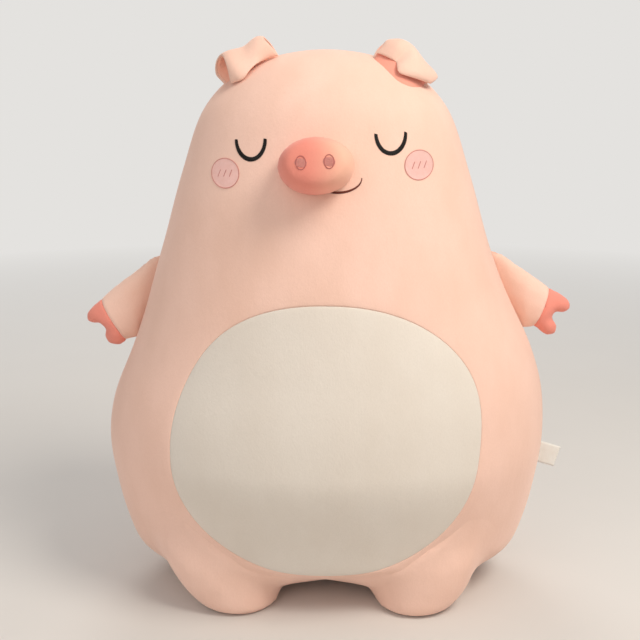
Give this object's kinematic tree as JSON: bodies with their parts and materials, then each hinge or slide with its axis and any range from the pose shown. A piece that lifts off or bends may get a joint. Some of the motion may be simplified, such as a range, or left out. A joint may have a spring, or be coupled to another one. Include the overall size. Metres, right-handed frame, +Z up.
{
  "type": "stuffed toy pig",
  "caption": "Tall rounded stuffed toy pig that sits with short legs forward, with a padded snout, folded ears, hoofed arms, a cream belly panel and a closed-eye embroidered face.",
  "frame": {"origin": "on the surface that the toy sits on, under the middle of its bounding box", "axes": "+Z up through the head, -Y the way the face and the belly look, +X the pig's own left"},
  "size_m": [0.6249, 0.4025, 0.6972],
  "materials": {
    "plush_pink": "short-pile plush",
    "plush_cream": "short-pile plush",
    "plush_coral": "short-pile plush",
    "plush_rose": "short-pile plush",
    "thread_dark": "embroidery thread",
    "thread_rose": "embroidery thread",
    "thread_pink": "hand-sewn thread",
    "fibre_filling": "loose polyester fibre",
    "label_tape": "smooth woven tape"
  },
  "bodies": {
    "body": {"body_front_panel": "plush_pink", "belly_panel": "plush_cream", "body_back_left_panel": "plush_pink", "body_back_right_panel": "plush_pink", "body_filling": "fibre_filling", "closing_stitches": "thread_pink", "snout_cover": "plush_coral", "snout_filling": "fibre_filling", "left_nostril": "thread_rose", "right_nostril": "thread_rose", "mouth_stitches": "thread_dark", "left_eye_stitches": "thread_dark", "right_eye_stitches": "thread_dark", "left_cheek_patch": "plush_rose", "left_cheek_border": "thread_rose", "left_cheek_stroke_1": "thread_rose", "left_cheek_stroke_2": "thread_rose", "left_cheek_stroke_3": "thread_rose", "right_cheek_patch": "plush_rose", "right_cheek_border": "thread_rose", "right_cheek_stroke_1": "thread_rose", "right_cheek_stroke_2": "thread_rose", "right_cheek_stroke_3": "thread_rose", "left_leg_cover": "plush_pink", "left_leg_filling": "fibre_filling", "left_leg_sole": "plush_pink", "right_leg_cover": "plush_pink", "right_leg_filling": "fibre_filling", "right_leg_sole": "plush_pink"},
    "left_arm": {"left_arm_sleeve": "plush_pink", "left_arm_hoof": "plush_coral", "left_arm_filling": "fibre_filling"},
    "right_arm": {"right_arm_sleeve": "plush_pink", "right_arm_hoof": "plush_coral", "right_arm_filling": "fibre_filling"},
    "left_ear": {"left_ear_outer": "plush_pink", "left_ear_lining": "plush_coral"},
    "right_ear": {"right_ear_outer": "plush_pink", "right_ear_lining": "plush_coral"},
    "tail": {"tail": "plush_pink"},
    "care_label": {"care_label": "label_tape"}
  },
  "joints": [
    {"name": "left_arm_swing", "type": "hinge", "parent": "body", "child": "left_arm", "pos_m": [0.23114, 0, 0.38773], "axis": [-0.3616, 0, 0.9323], "range_deg": [-35, 35], "stiffness_Nm_per_rad": 0.15},
    {"name": "right_arm_swing", "type": "hinge", "parent": "body", "child": "right_arm", "pos_m": [-0.2332, 0, 0.38224], "axis": [0.365, 0, 0.931], "range_deg": [-35, 35], "stiffness_Nm_per_rad": 0.15},
    {"name": "left_ear_flap", "type": "hinge", "parent": "body", "child": "left_ear", "pos_m": [0.09035, -0.02665, 0.66731], "axis": [-0.9032, 0, 0.4291], "range_deg": [-8, 45], "stiffness_Nm_per_rad": 0.02},
    {"name": "right_ear_flap", "type": "hinge", "parent": "body", "child": "right_ear", "pos_m": [-0.09035, -0.02665, 0.66731], "axis": [-0.9032, 0, -0.4291], "range_deg": [-8, 45], "stiffness_Nm_per_rad": 0.02},
    {"name": "label_flap", "type": "hinge", "parent": "body", "child": "care_label", "pos_m": [0.27961, 0, 0.17287], "axis": [0.1319, 0, 0.9913], "range_deg": [-60, 60], "stiffness_Nm_per_rad": 0.0005},
    {"name": "tail_wag", "type": "hinge", "parent": "body", "child": "tail", "pos_m": [0, 0.17563, 0.165], "axis": [0, 0, 1], "range_deg": [-30, 30], "stiffness_Nm_per_rad": 0.02}
  ]
}
